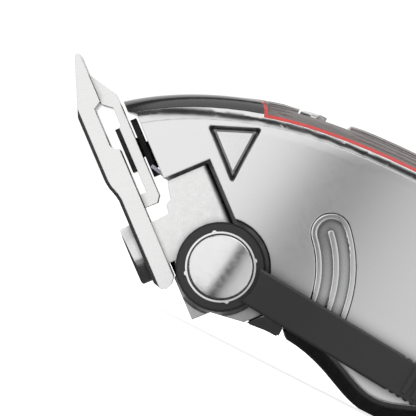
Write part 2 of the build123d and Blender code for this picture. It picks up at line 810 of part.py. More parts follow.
with BuildPart() as adjusting_bracket:
    with BuildSketch(HEAD.offset(EAR_Y)):
        add(ear_view)
    extrude(amount=-EAR_T)
    with BuildSketch(HEAD.offset(-EAR_Y)):
        add(ear_view)
    extrude(amount=EAR_T)
    rear_edges = adjusting_bracket.edges().filter_by(
        lambda e: HEAD.to_local_coords(e.center()).X > EAR_REAR_W - 0.01
        and abs(e.center().Y) > EAR_Y - 0.01
    )
    fillet(rear_edges, EAR_BEND_R)
    with BuildSketch(HEAD):
        with Locations(((FRONT_W - 5.1) / 2, (BRACKET_U + WALL_TOP_U) / 2)):
            Rectangle(-5.1 - FRONT_W, WALL_TOP_U - BRACKET_U)
    extrude(amount=EAR_Y - EAR_T / 2, both=True)
    wall_back = Plane(HEAD.from_local_coords((-5.1, 0, 0)), x_dir=(0, 1, 0), z_dir=HEAD.x_dir)
    # bosses: two round ones for the blade screws, two square ones on the guide posts
    with BuildSketch(wall_back):
        with Locations((-BLADE_SCREW_Y, BLADE_SCREW_U), (BLADE_SCREW_Y, BLADE_SCREW_U)):
            Circle(2.9)
    extrude(amount=BOSS_W + 5.1)
    with BuildSketch(wall_back):
        with Locations((-POST_Y, (BRACKET_U + WALL_TOP_U) / 2), (POST_Y, (BRACKET_U + WALL_TOP_U) / 2)):
            Rectangle(3.6, WALL_TOP_U - BRACKET_U)
    extrude(amount=BOSS_W + 5.1)
    with BuildSketch(wall_back.offset(-3)):
        with Locations((-BLADE_SCREW_Y, BLADE_SCREW_U), (BLADE_SCREW_Y, BLADE_SCREW_U)):
            Circle(BLADE_SCREW_R)
    extrude(amount=8, mode=Mode.SUBTRACT)
    for y in (-POST_Y, POST_Y):
        with BuildPart(mode=Mode.PRIVATE) as guide_bore:
            with BuildSketch(Plane(HEAD.from_local_coords((POST_W, 0, -y)), z_dir=HEAD.y_dir)):
                Circle(POST_R + RUN)
            extrude(amount=20)
        add(guide_bore.part, mode=Mode.SUBTRACT)
    # the fork that the cam works in: open toward the front, the same in both ears
    with BuildSketch(HEAD):
        with Locations((CAM_W, CAM_U)):
            Circle(CAM_R + SLIDE)
        with Locations((CAM_W + 0.12, CAM_U)):
            Circle(CAM_R + SLIDE)
        with Locations((CAM_W - 3.0, CAM_U)):
            Rectangle(6.0, 2 * (CAM_R + SLIDE) - 2.6)
    extrude(amount=EAR_Y + 1, both=True, mode=Mode.SUBTRACT)
adjusting_bracket.part.label = "adjusting_bracket"
export_step(adjusting_bracket.part, "parts/adjusting_bracket.step")

# ---------------------------------------------------------------- blades
BLADE_FACE_W = -6.27  # face that lies on the bracket
BLADE_OUT_W = -9.05  # outer face at the screws
TIP_U = 33.7
TOOTH_PITCH = 1.55
TOOTH_SLOT = 0.75
TOOTH_ROOT_U = 27.6
BLADE_TEETH = int((BLADE_W - 4.0) / TOOTH_PITCH)

bottom_view = polygon(
    (-6.2, TIP_U - 0.2),
    (-6.55, TIP_U),
    (-6.9, TIP_U - 0.2),
    (-9.75, 25.7),
    (-9.75, 16.3),
    (-9.6, 15.4),
    (-9.2, 14.2),
    (BLADE_OUT_W, 13.4),
    (BLADE_OUT_W, 1.5),
    (-8.5, 0.4),
    (-7.7, 0.1),
    (-6.9, 0.4),
    (BLADE_FACE_W, 1.2),
    (BLADE_FACE_W, 19.7),
    (-7.0, 20.1),
    (-7.27, 20.6),
    (-7.27, 26.0),
    (-6.2, 26.6),
)
with BuildPart() as bottom_blade:
    with BuildSketch(HEAD):
        add(bottom_view)
    extrude(amount=BLADE_W / 2, both=True)
    blade_edges = bottom_blade.edges().filter_by(Axis.Y)
    side_edges = bottom_blade.edges() - blade_edges
    outer_edges = side_edges.filter_by(lambda e: HEAD.to_local_coords(e.center()).X < BLADE_OUT_W + 0.1)
    chamfer(outer_edges, 0.45)
    # teeth
    tooth_plane = Plane(HEAD.from_local_coords((-20, 0, 0)), x_dir=(0, 1, 0), z_dir=HEAD.x_dir)
    with BuildSketch(tooth_plane):
        with Locations((0, TOOTH_ROOT_U + 10)):
            with GridLocations(TOOTH_PITCH, 1, BLADE_TEETH, 1):
                Rectangle(TOOTH_SLOT, 20)
    extrude(amount=30, mode=Mode.SUBTRACT)
    with BuildSketch(tooth_plane):
        with Locations((-BLADE_SCREW_Y, BLADE_SCREW_U), (BLADE_SCREW_Y, BLADE_SCREW_U)):
            SlotCenterToCenter(1.0, 2 * BLADE_SCREW_R + 0.3, rotation=90)
    extrude(amount=30, mode=Mode.SUBTRACT)
bottom_blade.part.label = "bottom_blade"
export_step(bottom_blade.part, "parts/bottom_blade.step")

with BuildPart() as blade_screws:
    for y in (-BLADE_SCREW_Y, BLADE_SCREW_Y):
        under_head = Plane(
            HEAD.from_local_coords((BLADE_OUT_W, BLADE_SCREW_U, -y)), x_dir=(0, 1, 0), z_dir=-HEAD.x_dir
        )
        with BuildSketch(under_head):
            Circle(4.05)
        extrude(amount=1.6)
        with BuildSketch(under_head.offset(1.6)):
            Rectangle(5.6, 0.9)
        extrude(amount=-0.8, mode=Mode.SUBTRACT)
        with BuildSketch(under_head):
            Circle(BLADE_SCREW_R)
        extrude(amount=BLADE_OUT_W - BOSS_W)
    heads = blade_screws.edges().filter_by(GeomType.CIRCLE)
    rims = heads.filter_by(lambda e: e.radius > 4 and HEAD.to_local_coords(e.center()).X < BLADE_OUT_W - 1)
    fillet(rims, 0.4)
blade_screws.part.label = "blade_screws"
export_step(blade_screws.part, "parts/blade_screws.step")

CUTTER_OUT_W = -3.8
CUTTER_IN_W = -5.2
CUTTER_FOOT_W = -6.2  # the foot and the tip run on the bottom blade
CUTTER_PITCH = 2.2
CUTTER_TEETH = int((CUTTER_W - 3.0) / CUTTER_PITCH)
DRIVE_U0 = 17.2  # the cutter's drive slot
DRIVE_U1 = 20.8
DRIVE_Y = 2.2
cutter_view = polygon(
    (CUTTER_FOOT_W + SLIDE, 30.6),
    (CUTTER_OUT_W, 26.7),
    (CUTTER_OUT_W, 12.0),
    (-4.4, 11.2),
    (CUTTER_FOOT_W + SLIDE, 11.2),
    (CUTTER_FOOT_W + SLIDE, 13.05),
    (CUTTER_IN_W, 13.05),
    (CUTTER_IN_W, 22.4),
    (-4.9, 22.7),
    (-4.9, 25.2),
    (CUTTER_FOOT_W + SLIDE, 26.2),
)
with BuildPart() as cutter:
    with BuildSketch(HEAD):
        add(cutter_view)
    extrude(amount=CUTTER_W / 2, both=True)
    with BuildSketch(tooth_plane):
        with Locations((0, TOOTH_ROOT_U + 9.4)):
            with GridLocations(CUTTER_PITCH, 1, CUTTER_TEETH, 1):
                Rectangle(1.1, 20)
    extrude(amount=30, mode=Mode.SUBTRACT)
    with BuildSketch(tooth_plane):
        with Locations((0, (DRIVE_U0 + DRIVE_U1) / 2)):
            Rectangle(2 * DRIVE_Y, DRIVE_U1 - DRIVE_U0)
    extrude(amount=30, mode=Mode.SUBTRACT)
cutter.part.label = "cutter"
export_step(cutter.part, "parts/cutter.step")

with BuildPart() as cutter_runner:
    with BuildSketch(HEAD):
        with Locations(((CUTTER_IN_W - 5.85) / 2, 19.3)):
            Rectangle(CUTTER_IN_W + 5.85, 6.2)
    extrude(amount=15, both=True)
    with BuildSketch(tooth_plane):
        with Locations((0, (DRIVE_U0 + DRIVE_U1) / 2)):
            Rectangle(2 * DRIVE_Y, DRIVE_U1 - DRIVE_U0)
    extrude(amount=30, mode=Mode.SUBTRACT)
cutter_runner.part.label = "cutter_runner"
export_step(cutter_runner.part, "parts/cutter_runner.step")

# ---------------------------------------------------------------- taper lever and its pivot
WASHER_T = 0.25
EYE_T = 2.2
WASHER_Y = EAR_Y + SLIDE  # inner face of the under-washer
EYE_Y = WASHER_Y + WASHER_T
STAR_Y = EYE_Y + EYE_T
HEAD_Y = STAR_Y + WASHER_T
ARM_Y = SIDE_Y + 0.4  # inner face of the lever's arm
ARM_T = 1.6
SHAFT_SQUARE = 3.4
TAP_R = 1.0
GRIP_START = 27.5
STAR_R = 4.73
LEVER_SCREW_R = 4.27
LEVER_SCREW_T = 1.15
DOME_R = 13.0
CROSS_L = 3.6
CROSS_W = 0.95
CROSS_DEPTH = 0.85

lever_angle = radians(LEVER_REST)
LEVER = Plane(origin=PIVOT, x_dir=(cos(lever_angle), 0, sin(lever_angle)), z_dir=(0, -1, 0))
TURNED = Plane(origin=PIVOT, x_dir=(cos(radians(37)), 0, sin(radians(37))), z_dir=(0, -1, 0))

with BuildPart() as taper_lever:
    with BuildSketch(LEVER.offset(EYE_Y)):
        Circle(EYE_R)
    extrude(amount=EYE_T)
    with BuildSketch(LEVER.offset(ARM_Y)):
        with Locations((LEVER_L / 2, 0)):
            SlotOverall(LEVER_L + LEVER_W, LEVER_W)
        Circle(5.3, mode=Mode.SUBTRACT)
        with Locations((-10, 0)):
            Rectangle(20, 20, mode=Mode.SUBTRACT)
    extrude(amount=ARM_T)
    grip_edges = taper_lever.faces().sort_by(Axis.Y)[0].edges()
    chamfer(grip_edges.filter_by(lambda e: LEVER.to_local_coords(e.center()).X > 8), 0.3)
    # serrated edges of the finger grip
    with BuildSketch(LEVER.offset(ARM_Y)):
        for i in range(14):
            for edge in (-LEVER_W / 2, LEVER_W / 2):
                with Locations((GRIP_START + i * 1.05, edge)):
                    Circle(0.28)
    extrude(amount=ARM_T, mode=Mode.SUBTRACT)
    # thumb ribs across the grip
    with BuildSketch(LEVER.offset(ARM_Y + ARM_T)):
        for i in range(9):
            with Locations((GRIP_START + 2 + i * 1.5, 0)):
                Rectangle(0.7, LEVER_W - 1.6)
    extrude(amount=0.4)
    with BuildSketch(LEVER.offset(EYE_Y - 1)):
        Rectangle(SHAFT_SQUARE + 0.1, SHAFT_SQUARE + 0.1)
    extrude(amount=EYE_T + 2, mode=Mode.SUBTRACT)
taper_lever.part.label = "taper_lever"
export_step(taper_lever.part, "parts/taper_lever.step")

with BuildPart() as under_washer:
    with BuildSketch(LEVER.offset(WASHER_Y)):
        Circle(6.0)
        Circle(2.6, mode=Mode.SUBTRACT)
    extrude(amount=WASHER_T)
under_washer.part.label = "under_washer"
export_step(under_washer.part, "parts/under_washer.step")

with BuildPart() as star_washer:
    with BuildSketch(TURNED.offset(STAR_Y)):
        Circle(STAR_R)
        with PolarLocations(STAR_R - 0.11, 4):
            Circle(0.33)
        Circle(TAP_R + 0.1, mode=Mode.SUBTRACT)
    extrude(amount=WASHER_T)
star_washer.part.label = "star_washer"
export_step(star_washer.part, "parts/star_washer.step")

with BuildPart() as lever_screw:
    with BuildSketch(TURNED.offset(HEAD_Y)):
        Circle(LEVER_SCREW_R)
    extrude(amount=LEVER_SCREW_T + 1.0)
    with Locations((PIVOT_X, DOME_R - HEAD_Y - LEVER_SCREW_T, PIVOT_Z)):
        Sphere(DOME_R, mode=Mode.INTERSECT)
    fillet(lever_screw.faces().sort_by(Axis.Y)[0].edges(), 0.2)
    with BuildSketch(TURNED.offset(HEAD_Y + LEVER_SCREW_T)):
        Rectangle(CROSS_L, CROSS_W)
        Rectangle(CROSS_W, CROSS_L)
    extrude(amount=-CROSS_DEPTH, mode=Mode.SUBTRACT, taper=12)
    with BuildSketch(TURNED.offset(HEAD_Y)):
        Circle(TAP_R)
    extrude(amount=-5.0)
lever_screw.part.label = "lever_screw"
export_step(lever_screw.part, "parts/lever_screw.step")

cam_angle = radians(180 - LEVER_ANGLE / 2)
CAM_AT = (CAM_E * cos(cam_angle), CAM_E * sin(cam_angle))
JOURNAL_L = 7.4
CLIP_GROOVE = 7.0
with BuildPart() as eccentric_shaft:
    with BuildSketch(HEAD.offset(EAR_Y - EAR_T)):
        with Locations(CAM_AT):
            Circle(CAM_R)
    extrude(amount=EAR_T)
    with BuildSketch(HEAD.offset(EAR_Y)):
        Circle(2.4)
    extrude(amount=EYE_Y - EAR_Y)
    with BuildSketch(LEVER.offset(EYE_Y)):
        Rectangle(SHAFT_SQUARE, SHAFT_SQUARE)
    extrude(amount=EYE_T - 0.1)
    with BuildSketch(HEAD.offset(EAR_Y - EAR_T)):
        Circle(JOURNAL_R)
    extrude(amount=-(FREE + JOURNAL_L + 1.6))
    with BuildSketch(HEAD.offset(FRAME_Y - CLIP_GROOVE - 0.1)):
        Circle(JOURNAL_R)
        Circle(JOURNAL_R - 0.5, mode=Mode.SUBTRACT)
    extrude(amount=-0.6, mode=Mode.SUBTRACT)
    with BuildSketch(HEAD.offset(HEAD_Y)):
        Circle(TAP_R)
    extrude(amount=-6.0, mode=Mode.SUBTRACT)
eccentric_shaft.part.label = "eccentric_shaft"
export_step(eccentric_shaft.part, "parts/eccentric_shaft.step")

with BuildPart() as shaft_clip:
    with BuildSketch(HEAD.offset(FRAME_Y - CLIP_GROOVE - 0.1)):
        Circle(3.6)
        Circle(JOURNAL_R - 0.5, mode=Mode.SUBTRACT)
        with Locations((2.5, 0)):
            Rectangle(5, 2.2, mode=Mode.SUBTRACT)
    extrude(amount=-0.6)
shaft_clip.part.label = "shaft_clip"
export_step(shaft_clip.part, "parts/shaft_clip.step")

# ---------------------------------------------------------------- vibrator motor
PIN_R = 1.5
CORE_S = (16.0, 38.0)
CORE_N = (5.0, 15.5)
LEG = 6.0
GAP_Y = 5.6
YOKE_Y = (12.5, 16.5)
POLE_Y = 4.0
BULK_S = (50.0, 53.0)
arm_top = ARM_Z + ARM_H

with BuildPart() as motor_core:
    add(side_box(CORE_S[0], CORE_S[1], *CORE_N, YOKE_Y[0], YOKE_Y[1]))
    add(side_box(CORE_S[0], CORE_S[0] + LEG, *CORE_N, GAP_Y, YOKE_Y[1]))
    add(side_box(CORE_S[1] - LEG, CORE_S[1], *CORE_N, GAP_Y, YOKE_Y[1]))
    with BuildSketch(Plane.XY.offset(PIVOT_Z)):
        for s in (CORE_S[0] + LEG / 2, CORE_S[1] - LEG / 2):
            with Locations((PIVOT_X + s, YOKE_Y[1] - 2)):
                Circle(1.6)
    extrude(amount=30, mode=Mode.SUBTRACT)
motor_core.part.label = "motor_core"
export_step(motor_core.part, "parts/motor_core.step")

COIL_S = (CORE_S[0] + LEG + 0.2, CORE_S[1] - LEG - 0.2)
BOBBIN_T = 0.9


def sleeve(s0, s1, inner, outer):
    """A square sleeve about the core's yoke."""
    hole = side_box(
        s0, s1, CORE_N[0] - inner, CORE_N[1] + inner, YOKE_Y[0] - inner, YOKE_Y[1] + inner
    )
    with BuildPart() as tube:
        add(side_box(s0, s1, CORE_N[0] - outer, CORE_N[1] + outer, YOKE_Y[0] - outer, YOKE_Y[1] + outer))
        add(hole, mode=Mode.SUBTRACT)
    return tube.part


bobbin_tube = sleeve(COIL_S[0], COIL_S[1], 0.1, 0.1 + BOBBIN_T)
bobbin_front = sleeve(COIL_S[0], COIL_S[0] + BOBBIN_T, 0.1, 3.2)
bobbin_rear = sleeve(COIL_S[1] - BOBBIN_T, COIL_S[1], 0.1, 3.2)
with BuildPart() as coil_bobbin:
    add(bobbin_tube)
    add(bobbin_front)
    add(bobbin_rear)
coil_bobbin.part.label = "coil_bobbin"
export_step(coil_bobbin.part, "parts/coil_bobbin.step")

coil_body = sleeve(COIL_S[0] + BOBBIN_T, COIL_S[1] - BOBBIN_T, 0.1 + BOBBIN_T, 2.9)
with BuildPart() as motor_coil:
    add(coil_body)
motor_coil.part.label = "motor_coil"
export_step(motor_coil.part, "parts/motor_coil.step")

with BuildPart() as motor_screws:
    for s in (CORE_S[0] + LEG / 2, CORE_S[1] - LEG / 2):
        with BuildSketch(Plane.XY.offset(PIVOT_Z + CORE_N[1])):
            with Locations((PIVOT_X + s, YOKE_Y[1] - 2)):
                Circle(2.4)
        extrude(amount=1.8)
        with BuildSketch(Plane.XY.offset(PIVOT_Z + CORE_N[1])):
            with Locations((PIVOT_X + s, YOKE_Y[1] - 2)):
                Circle(1.5)
        extrude(amount=-(CORE_N[1] - CORE_N[0] + 3.0))
motor_screws.part.label = "motor_screws"
export_step(motor_screws.part, "parts/motor_screws.step")

with BuildPart() as motor_bulkhead:
    add(side_box(BULK_S[0], BULK_S[1], 3.0, 18.0, -CAVITY_Y + FREE, CAVITY_Y - FREE))
    add(side_box(HINGE_S - 4, BULK_S[0], 3.4, 5.4, -5, 5))
    add(side_box(HINGE_S - 4, BULK_S[0], 15.8, 17.8, -5, 5))
    with BuildSketch(Plane.XY.offset(PIVOT_Z)):
        with Locations((PIVOT_X + HINGE_S, 0)):
            Circle(PIN_R)
    extrude(amount=30, mode=Mode.SUBTRACT)
motor_bulkhead.part.label = "motor_bulkhead"
export_step(motor_bulkhead.part, "parts/motor_bulkhead.step")

with BuildPart() as armature_pin:
    with BuildSketch(Plane.XY.offset(PIVOT_Z + 3.2)):
        with Locations((PIVOT_X + HINGE_S, 0)):
            Circle(PIN_R)
    extrude(amount=14.8)
armature_pin.part.label = "armature_pin"
export_step(armature_pin.part, "parts/armature_pin.step")

arm_view = polygon(
    head(-0.5, 15.6),
    (-8.0, ARM_Z),
    (HINGE_S, ARM_Z),
    (HINGE_S, arm_top),
    (-10.0, arm_top),
    head(-0.5, 19.4),
)
with BuildPart() as armature:
    with BuildSketch(SIDE):
        add(arm_view)
    extrude(amount=3.0, both=True)
    add(side_box(CORE_S[0] - 1, CORE_S[1] + 1, *CORE_N, -3.0, POLE_Y))
    with BuildSketch(Plane.XY.offset(PIVOT_Z + 5.8)):
        with Locations((PIVOT_X + HINGE_S, 0)):
            Circle(3.4)
    extrude(amount=9.6)
    with BuildSketch(Plane.XY.offset(PIVOT_Z)):
        with Locations((PIVOT_X + HINGE_S, 0)):
            Circle(PIN_R + RUN)
    extrude(amount=30, mode=Mode.SUBTRACT)
armature.part.label = "armature"
export_step(armature.part, "parts/armature.step")

SHOE_W = (-3.5, -2.66)
SHOE_U = (14.6, 22.8)
with BuildPart() as drive_shoe:
    with BuildSketch(HEAD):
        with Locations((sum(SHOE_W) / 2, sum(SHOE_U) / 2)):
            Rectangle(SHOE_W[1] - SHOE_W[0], SHOE_U[1] - SHOE_U[0])
    extrude(amount=11, both=True)
    with BuildSketch(HEAD):
        with Locations((-1.75, 17.5)):
            Rectangle(2.5, 3.8)
    extrude(amount=5, both=True)
    with BuildSketch(HEAD):
        with Locations(((CUTTER_IN_W + 0.2 + SHOE_W[0]) / 2, (DRIVE_U0 + DRIVE_U1) / 2)):
            Rectangle(SHOE_W[0] - CUTTER_IN_W - 0.2, DRIVE_U1 - DRIVE_U0 - 0.8)
    extrude(amount=DRIVE_Y - 0.15, both=True)
drive_shoe.part.label = "drive_shoe"
export_step(drive_shoe.part, "parts/drive_shoe.step")

# two leaves that centre the armature: from the bulkhead to the arm
with BuildPart() as leaf_springs:
    for side in (-1, 1):
        with BuildSketch(Plane.XY.offset(PIVOT_Z + 9)):
            with BuildLine():
                Polyline(
                    (PIVOT_X + BULK_S[0], side * 6.6),
                    (PIVOT_X + 39.6, side * 3.6),
                    (PIVOT_X + 39.6, side * 4.0),
                    (PIVOT_X + BULK_S[0], side * 7.0),
                    close=True,
                )
            make_face()
        extrude(amount=3.5)
leaf_springs.part.label = "leaf_springs"
export_step(leaf_springs.part, "parts/leaf_springs.step")

# ---------------------------------------------------------------- switch
slider_view = band(TOP, -1.0, COVER_T - FREE)
with BuildPart() as switch_slider:
    with BuildSketch(SIDE):
        add(slider_view)
    extrude(amount=SWITCH_Y, both=True)
    add(envelope.part, mode=Mode.INTERSECT)
    # lens shape seen from above
    with BuildSketch(Plane.XY):
        with BuildLine():
            x0 = PIVOT_X + SWITCH_S
            half = SWITCH_L / 2
            ThreePointArc((x0 - 0.4, -SWITCH_Y), (x0 - half, 0), (x0 - 0.4, SWITCH_Y))
            Line((x0 - 0.4, SWITCH_Y), (x0 + 0.4, SWITCH_Y))
            ThreePointArc((x0 + 0.4, SWITCH_Y), (x0 + half, 0), (x0 + 0.4, -SWITCH_Y))
            Line((x0 + 0.4, -SWITCH_Y), (x0 - 0.4, -SWITCH_Y))
        make_face()
    extrude(amount=60, mode=Mode.INTERSECT)
    add(side_box(STEM_S0, STEM_S1, STEM_BOTTOM, 22.6, -STEM_Y, STEM_Y))
switch_slider.part.label = "switch_slider"
export_step(switch_slider.part, "parts/switch_slider.step")

with BuildPart() as switch_block:
    add(side_box(-0.8, 9.6, ARM_Z + ARM_H + 0.9, 17.2, -6.5, 6.5))
    add(switch_slot(STEM_Y, FREE), mode=Mode.SUBTRACT)
switch_block.part.label = "switch_block"
export_step(switch_block.part, "parts/switch_block.step")
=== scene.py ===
"""Hair clipper head and body: finishes, grips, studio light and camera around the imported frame."""

import json
import math

import bmesh
import bpy
from mathutils import Matrix, Vector
from mathutils.bvhtree import BVHTree

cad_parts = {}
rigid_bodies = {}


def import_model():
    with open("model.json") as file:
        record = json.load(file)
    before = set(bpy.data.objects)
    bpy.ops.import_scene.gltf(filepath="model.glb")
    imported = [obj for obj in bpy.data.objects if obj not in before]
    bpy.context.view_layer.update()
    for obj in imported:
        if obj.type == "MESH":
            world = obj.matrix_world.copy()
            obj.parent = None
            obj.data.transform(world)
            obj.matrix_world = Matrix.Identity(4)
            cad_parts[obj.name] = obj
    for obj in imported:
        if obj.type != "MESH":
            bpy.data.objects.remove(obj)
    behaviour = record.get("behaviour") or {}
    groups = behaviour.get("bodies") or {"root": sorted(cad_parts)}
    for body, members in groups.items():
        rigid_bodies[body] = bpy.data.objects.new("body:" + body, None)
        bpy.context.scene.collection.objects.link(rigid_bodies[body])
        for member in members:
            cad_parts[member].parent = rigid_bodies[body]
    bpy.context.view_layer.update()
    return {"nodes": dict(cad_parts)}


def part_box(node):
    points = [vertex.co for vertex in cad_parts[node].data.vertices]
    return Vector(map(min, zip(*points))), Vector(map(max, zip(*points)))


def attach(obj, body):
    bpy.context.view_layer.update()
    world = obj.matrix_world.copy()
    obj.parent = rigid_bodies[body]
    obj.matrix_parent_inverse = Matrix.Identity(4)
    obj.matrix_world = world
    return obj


MM = 0.001
WHITE = (1, 1, 1, 1)

# The start-up cube, lamp and camera go first, so that the bounds are those of the part alone.
for stray in list(bpy.data.objects):
    bpy.data.objects.remove(stray, do_unlink=True)

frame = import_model()


def in_scene(name, data):
    thing = bpy.data.objects.new(name, data)
    bpy.context.scene.collection.objects.link(thing)
    return thing


def fill_ramp(ramp, stops):
    """Greys at positions 0 to 1 along a colour ramp."""
    while len(ramp.color_ramp.elements) < len(stops):
        ramp.color_ramp.elements.new(0.5)
    for element, (place, grey) in zip(ramp.color_ramp.elements, stops):
        element.position = place
        element.color = (grey, grey, grey, 1)


# ---------------------------------------------------------------- materials

# Cosine between the softened and the true normal: the lighter edge colour, part rubbed wear and part
# painted edge highlight, is full below the first and none above the second.
EDGE_TINT_FULL_BELOW = 0.80
EDGE_TINT_NONE_ABOVE = 0.995
# Share of open surroundings at which the painted recess shade is full, and at which there is none.
FULLY_HIDDEN = 0.12
FULLY_OPEN = 0.85


class Finish:
    """A node material on Principled BSDF, built up from object-space detail."""

    def __init__(self, name, colour, metallic=0.0, rough=0.4, **sockets):
        self.mat = bpy.data.materials.new(name)
        self.mat.use_nodes = True
        self.nodes = self.mat.node_tree.nodes
        self.links = self.mat.node_tree.links
        self.shader = self.nodes["Principled BSDF"]
        self.colour = colour
        self.rough = rough
        self.shader.inputs["Base Color"].default_value = (*colour, 1)
        self.shader.inputs["Metallic"].default_value = metallic
        self.shader.inputs["Roughness"].default_value = rough
        for key, value in sockets.items():
            self.shader.inputs[key.replace("_", " ")].default_value = value
        self.coords = self.nodes.new("ShaderNodeTexCoord").outputs["Object"]
        self.normal = None

    def add(self, kind, **values):
        node = self.nodes.new(kind)
        for key, value in values.items():
            setattr(node, key, value)
        return node

    def link(self, a, b):
        self.links.new(a, b)

    def mapped(self, scale, turn):
        """Object coordinates turned first and then scaled, so that grain stretches along the turn."""
        turned = self.add("ShaderNodeMapping")
        turned.inputs["Rotation"].default_value = turn
        self.link(self.coords, turned.inputs["Vector"])
        sized = self.add("ShaderNodeMapping")
        sized.inputs["Scale"].default_value = scale
        self.link(turned.outputs["Vector"], sized.inputs["Vector"])
        return sized.outputs["Vector"]

    def noise(self, size_mm, stretch=(1, 1, 1), turn=(0, 0, 0), detail=3.0, rough=0.55):
        node = self.add("ShaderNodeTexNoise")
        node.inputs["Scale"].default_value = 1000.0 / size_mm
        node.inputs["Detail"].default_value = detail
        node.inputs["Roughness"].default_value = rough
        self.link(self.mapped(stretch, turn), node.inputs["Vector"])
        return node.outputs["Fac"]

    def ranged(self, value, low, high, start=0.3, end=0.7):
        node = self.add("ShaderNodeMapRange")
        node.inputs["From Min"].default_value = start
        node.inputs["From Max"].default_value = end
        node.inputs["To Min"].default_value = low
        node.inputs["To Max"].default_value = high
        self.link(value, node.inputs["Value"])
        return node.outputs["Result"]

    def recoloured(self, blend_type="MIX"):
        """A colour mix put in front of the base colour: inputs 0 and 7 are the caller's."""
        mix = self.add("ShaderNodeMix", data_type="RGBA", blend_type=blend_type)
        mix.inputs[6].default_value = (*self.colour, 1)
        base = self.shader.inputs["Base Color"]
        if base.is_linked:
            self.link(base.links[0].from_socket, mix.inputs[6])
        self.link(mix.outputs[2], base)
        return mix

    def mottled(self, value, other, amount=1.0):
        """Base colour wanders between its own colour and the other one."""
        mix = self.recoloured()
        mix.inputs[7].default_value = (*other, 1)
        self.link(self.ranged(value, 0.0, amount), mix.inputs[0])

    def uneven(self, value, spread):
        self.link(
            self.ranged(value, self.rough - spread, self.rough + spread),
            self.shader.inputs["Roughness"],
        )

    def bump(self, value, height_mm, strength=1.0):
        node = self.add("ShaderNodeBump")
        node.inputs["Strength"].default_value = strength
        node.inputs["Distance"].default_value = height_mm * MM
        self.link(value, node.inputs["Height"])
        if self.normal is not None:
            self.link(self.normal, node.inputs["Normal"])
        self.normal = node.outputs["Normal"]
        self.link(self.normal, self.shader.inputs["Normal"])

    def eased(self, radius_mm, wear_and_highlight=None, amount=0.6):
        """Softened edges, and a lighter edge colour where the softened normal leaves the true one:
        part rubbed wear, part painted edge highlight.

        It comes before any bump, which builds on the softened normal.
        """
        bevel = self.add("ShaderNodeBevel", samples=4)
        bevel.inputs["Radius"].default_value = radius_mm * MM
        self.normal = bevel.outputs["Normal"]
        self.link(self.normal, self.shader.inputs["Normal"])
        if wear_and_highlight is None:
            return
        true = self.add("ShaderNodeNewGeometry")
        dot = self.add("ShaderNodeVectorMath", operation="DOT_PRODUCT")
        self.link(bevel.outputs["Normal"], dot.inputs[0])
        self.link(true.outputs["Normal"], dot.inputs[1])
        edge = self.ranged(dot.outputs["Value"], amount, 0.0, EDGE_TINT_FULL_BELOW, EDGE_TINT_NONE_ABOVE)
        # Lighter edge colour, part rubbed wear and part painted edge highlight, mixed into the base
        # colour.
        mix = self.recoloured()
        mix.inputs[7].default_value = (*wear_and_highlight, 1)
        self.link(edge, mix.inputs[0])

    def painted_recess_shade(self, reach_mm, dark=0.02, power=1.0):
        """Painted shade: the base colour is multiplied darker by ambient occlusion in gaps, corners
        and covered places, standing in for the dark surroundings metal would show there.
        """
        hidden = self.add("ShaderNodeAmbientOcclusion", samples=8)
        hidden.inputs["Distance"].default_value = reach_mm * MM
        shade_factor = self.ranged(hidden.outputs["AO"], dark, 1.0, FULLY_HIDDEN, FULLY_OPEN)
        curve = self.add("ShaderNodeMath", operation="POWER")
        curve.inputs[1].default_value = power
        self.link(shade_factor, curve.inputs[0])
        # Painted shade multiplied into the base colour.
        mix = self.recoloured("MULTIPLY")
        mix.inputs[0].default_value = 1.0
        self.link(curve.outputs[0], mix.inputs[7])

    def layers(self, size_mm):
        """Bands stacked upward, as wound wire or stacked sheets show."""
        node = self.add("ShaderNodeTexWave", bands_direction="Z")
        node.inputs["Scale"].default_value = 1000.0 / size_mm / 20.0 * math.pi / 3.0
        self.link(self.coords, node.inputs["Vector"])
        return node.outputs["Fac"]


HEAD_TILT = math.radians(40)       # the blades lean this far from upright

def shell_finish():
    f = Finish("satin_metal_shell", (0.80, 0.80, 0.80), 1.0, 0.30)
    f.eased(0.25)
    grain = f.noise(0.22, detail=2.0)
    cloud = f.noise(9.0, detail=2.0)
    f.mottled(grain, (0.84, 0.84, 0.84), 0.6)
    f.mottled(cloud, (0.79, 0.79, 0.795), 0.4)
    f.uneven(f.noise(0.6), 0.02)
    f.bump(grain, 0.003, 0.20)
    # Painted shade in gaps and under the lever, standing for its shadow on the shell.
    f.painted_recess_shade(3.2, 0.02, 1.15)
    return f.mat


def blade_finish():
    f = Finish("blade_steel", (0.82, 0.82, 0.815), 1.0, 0.28)
    # Lighter edges: part wear, part painted edge highlight.
    f.eased(0.12, (0.9, 0.9, 0.9), 0.4)
    lines = f.noise(0.18, stretch=(0.02, 1, 1), turn=(0, HEAD_TILT, 0), detail=2.0)
    f.mottled(lines, (0.85, 0.85, 0.845), 0.8)
    f.uneven(f.noise(0.25, stretch=(0.03, 1, 1), turn=(0, HEAD_TILT, 0)), 0.03)
    f.bump(lines, 0.0012, 0.15)
    # Painted shade in gaps and recesses.
    f.painted_recess_shade(1.2, 0.03)
    return f.mat


def bracket_finish():
    f = Finish("bracket_steel", (0.80, 0.80, 0.795), 1.0, 0.30)
    # Lighter edges: part wear, part painted edge highlight.
    f.eased(0.15, (0.85, 0.85, 0.85), 0.4)
    grain = f.noise(0.3, detail=2.0)
    f.mottled(grain, (0.86, 0.86, 0.855), 0.8)
    f.uneven(f.noise(0.9), 0.06)
    f.bump(grain, 0.002, 0.2)
    # Painted shade in gaps and recesses.
    f.painted_recess_shade(1.8, 0.03)
    return f.mat


def polished_finish():
    f = Finish("polished_trim", (0.80, 0.80, 0.805), 1.0, 0.10)
    f.eased(0.15)
    f.uneven(f.noise(1.6, stretch=(0.3, 1, 1)), 0.03)
    f.mottled(f.noise(6.0), (0.74, 0.74, 0.75), 0.6)
    f.bump(f.noise(0.5), 0.003, 0.15)
    return f.mat


